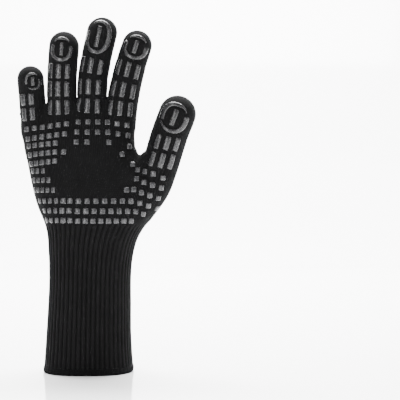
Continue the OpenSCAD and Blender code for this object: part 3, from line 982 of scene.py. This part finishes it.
# Columns of bars on each finger: degrees round it from the middle of the palm side
COLUMNS = {"index": (-41, -2, 37), "middle": (-49, -10, 29), "ring": (-43.4, -8, 27.4),
           "little": (-34.6, 4), "thumb": (-28, 3, 34)}
# The thumb's columns start higher one after another: millimetres for each degree
THUMB_SLANT = 0.05
# How far each row of bars is above the middle between its hinges, from the palm up
BAR_LIFTS = {"index": (0, 0, 1.4), "middle": (0, 0, 1.2), "ring": (1.5, 1.5, 1.3),
             "little": (0.8, 1.1)}
BAR_WIDTH = 5.7
BAR_LENGTH = 15.6
# The gap between a bar and the hinges above and below it, both together
BAR_GAP = 1.8
# The row of bars below a finger: how far its middle is below the root hinge, and its length
LOWEST_ROW = (9.5, BAR_LENGTH)
LITTLE_LOWEST_ROW = (8.0, 13.6)
# The thumb's rows: how far above the root hinge, length, and whether they lie on the web
THUMB_ROWS = ((10.5, 15.4, True), (28.2, 14.2, False))


def finger_bars(grips, finger, centre_s, length, pale, on_hand=False):
    """A row of bars on both faces of a finger. on_hand fits them to the palm and the webs."""
    u, v, x, y = pad_grid(BAR_WIDTH, length, 0.07)
    for face in (0, 1):
        for degrees in COLUMNS[finger.name]:
            turn = math.radians(degrees) if face == 0 else math.pi - math.radians(degrees)
            slant = THUMB_SLANT * (degrees - COLUMNS["thumb"][0]) if finger.name == "thumb" else 0
            p, n = finger.surface(centre_s + slant + y, turn + x / finger.radii[0])
            if on_hand:
                flat, n = onto(hand_distance, p.reshape(-1, 3), 3)
                p, n = flat.reshape(p.shape), n.reshape(p.shape)
            grips.add(p, n, u, v, pale)


def make_bars():
    on_palm = Grips()
    for name, finger in HAND.items():
        h = finger.hinge_s
        if name == "thumb":
            rows = [[(h[0] + above, length, on_web) for above, length, on_web in THUMB_ROWS]]
        else:
            middles = (h[:-1] + h[1:]) / 2
            lengths = np.minimum(BAR_LENGTH, np.diff(h) - BAR_GAP)
            lifts = BAR_LIFTS[name]
            rows = [[(m + lift, length, False)]
                    for m, lift, length in zip(middles, lifts[1:], lengths)]
            below, length = LITTLE_LOWEST_ROW if name == "little" else LOWEST_ROW
            finger_bars(on_palm, finger, h[0] - below + lifts[0], length, PAINTED_GLINT["bars"][0],
                        on_hand=True)
        for i, bars in enumerate(rows):
            grips = Grips()
            for middle_s, length, on_hand in bars:
                finger_bars(grips, finger, middle_s, length, PAINTED_GLINT["bars"][i + 1], on_hand)
            part = finger.sections[i]
            piece = grips.make(f"{name}_{part}_bars")
            bend(piece, finger, i)
            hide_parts(f"{name}_{part}_grips")
    piece = on_palm.make("knuckle_bars")
    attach(piece, "palm")
    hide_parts("knuckle_grips")


# Fingertip rings as seen from the front: half width, half height, how far the middle is below
# the middle of the round end and right of it, the bar's width and height, and the arcs: from
# and to in degrees clockwise from the top, and the widths along it from start to end
CAP = (-52, 52, (0.9, 3.1, 0.9))
RINGS = {
    "index": (10.2, 10.4, 2.4, 0.4, 4.6, 13.4, [CAP, (74, 286, (3.9, 3.9, 4.0, 3.9, 3.7))]),
    "middle": (10.2, 15.0, 5.5, -1.2, 4.4, 21, [(-42, 285, (1.8, 3.0, 4.7, 4.5, 4.2, 3.6, 2.8))]),
    "ring": (8.8, 10.4, 3.3, -0.4, 4.0, 13, [CAP, (74, 286, (3.8, 3.9, 4.0, 3.7, 3.4))]),
    "little": (6.4, 7.3, 2.6, 3.7, 4.0, 9,
               [(-108, 46, (2.4, 2.9, 2.6, 0.8)), (76, 226, (2.6, 2.8, 2.4, 0.8))]),
    "thumb": (11.8, 13.0, 3.6, -1.0, 5.2, 16.5,
              [(-112, 55, (5.2, 4.6, 3.6, 0.9)), (68, 245, (4.6, 4.6, 4.0, 0.9))]),
}
RING_SQUARENESS = 0.88


def tip_distance(finger):
    """Signed distance to the last part of a finger and its round end."""
    centres, radii = part_of(finger, finger.hinge_s[-1] - 14, finger.end + 3, 2.5)

    def distance(p):
        return chain_distance(p, centres, radii)

    return distance


def facing(finger, flat_x, flat_z, side, distance):
    """Points of the fingertip that are seen at flat_x, flat_z from the front or the back."""
    dome, along, across, back = finger.at(finger.end)
    r = finger.radii[1]
    base = dome + flat_x[..., None] * across + flat_z[..., None] * along
    reach = np.sqrt(np.maximum(r * r - flat_x**2 - np.maximum(flat_z, 0) ** 2, 9.0))
    p, n = onto(distance, (base - side * reach[..., None] * back).reshape(-1, 3), 4)
    return p.reshape(*flat_x.shape, 3), n.reshape(*flat_x.shape, 3)


def bowed(angle, wave):
    value = wave(angle)
    return np.sign(value) * np.abs(value) ** RING_SQUARENESS


def arc_points(shape, arc):
    """An arc of a fingertip ring in its own plane, with u and v across and along it."""
    half_w, half_h, below, right = shape[:4]
    start, stop, widths = arc
    steps = max(14, int(abs(stop - start) / 6))
    v, u = np.meshgrid(np.sin(np.linspace(-math.pi / 2, math.pi / 2, steps)), PROFILE,
                       indexing="ij")
    share = (v + 1) / 2
    angle = np.radians(start + (stop - start) * share)
    out = u * np.interp(share, np.linspace(0, 1, len(widths)), widths) / 2
    x = right + half_w * bowed(angle, np.sin) + out * np.sin(angle)
    z = half_h * bowed(angle, np.cos) + out * np.cos(angle) - below
    return u, v, x, z


def make_tips():
    for name, finger in HAND.items():
        shape = RINGS[name]
        below, right, bar_width, bar_height = shape[2:6]
        distance = tip_distance(finger)
        ring, bar = Grips(), Grips()
        for side in (1, -1):
            # The back is printed as the front is, turned over.
            order = slice(None, None, side)
            for arc in shape[6]:
                u, v, x, z = arc_points(shape, arc)
                p, n = facing(finger, x, z, side, distance)
                ring.add(p[:, order], n[:, order], u[:, order], v[:, order], PAINTED_GLINT["tips"])
            u, v, x, y = pad_grid(bar_width, bar_height, 0.07)
            p, n = facing(finger, x + right, y - below, side, distance)
            bar.add(p[:, order], n[:, order], u[:, order], v[:, order], PAINTED_GLINT["tips"])
        for grips, kind in ((ring, "ring"), (bar, "bar")):
            piece = grips.make(f"{name}_tip_{kind}_print")
            bend(piece, finger, len(finger.sections) - 1)
            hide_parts(f"{name}_tip_{kind}")


# ---- floor and light ----

def make_stage():
    """A pale floor that curves up into a backdrop."""
    rows = []
    for i in range(25):
        a = math.pi / 2 * i / 24
        rows.append((1.6 + 1.2 * math.sin(a), 1.2 - 1.2 * math.cos(a)))
    profile = [(-2.2, 0.0), (0.6, 0.0), *rows, (2.8, 4.2)]
    verts, faces = [], []
    for y, z in profile:
        verts += [(-4.5 / MM, y / MM, z / MM), (4.5 / MM, y / MM, z / MM)]
    for i in range(len(profile) - 1):
        faces.append([2 * i, 2 * i + 1, 2 * i + 3, 2 * i + 2])
    n = Nodes("studio_white")
    place = n.add("ShaderNodeTexCoord").outputs["Object"]
    tone = n.noise(place, 3.0, 2.0)
    colour = n.ramp(tone, (0.3, (0.92, 0.92, 0.92)), (0.7, (0.935, 0.935, 0.935)))
    material = n.finish(Base_Color=colour, Roughness=0.11, Specular_IOR_Level=0.3)
    floor = new_piece("studio_floor", verts, faces, material)


def add_light(name, place, aim, size, power, height=None):
    data = bpy.data.lights.new(name, "AREA")
    data.energy = power
    data.size = size
    if height:
        data.shape = "RECTANGLE"
        data.size_y = height
    lamp = bpy.data.objects.new(name, data)
    bpy.context.scene.collection.objects.link(lamp)
    lamp.location = place
    lamp.rotation_euler = (Vector(aim) - Vector(place)).to_track_quat("-Z", "Y").to_euler()
    lamp.visible_camera = False


def light_studio():
    world = bpy.data.worlds.new("studio")
    bpy.context.scene.world = world
    world.use_nodes = True
    world.node_tree.nodes["Background"].inputs["Color"].default_value = (1, 1, 1, 1)
    world.node_tree.nodes["Background"].inputs["Strength"].default_value = 1.0
    centre = (0.0, 0.0, 0.2)
    add_light("key", (-0.9, -1.6, 1.5), centre, 0.8, 15, 0.8)
    add_light("left_strip", (-0.55, -1.35, 0.32), centre, 0.22, 12, 0.8)
    add_light("right_strip", (0.85, -1.2, 0.34), centre, 0.22, 9, 0.8)
    add_light("top", (0.0, 0.5, 1.9), (0.0, 0.6, 0.0), 1.6, 120, 1.2)
    add_light("backdrop", (0.0, 1.0, 2.6), (0.0, 2.8, 0.4), 2.5, 640, 1.2)


make_palm()
for finger in HAND.values():
    make_finger(finger)
make_cuff()
make_cotton_sleeve()
make_hem()
make_dots("palm_dots", "palm_grips")
make_dots("back_dots", "back_grips")
make_bars()
make_tips()
make_stage()
light_studio()
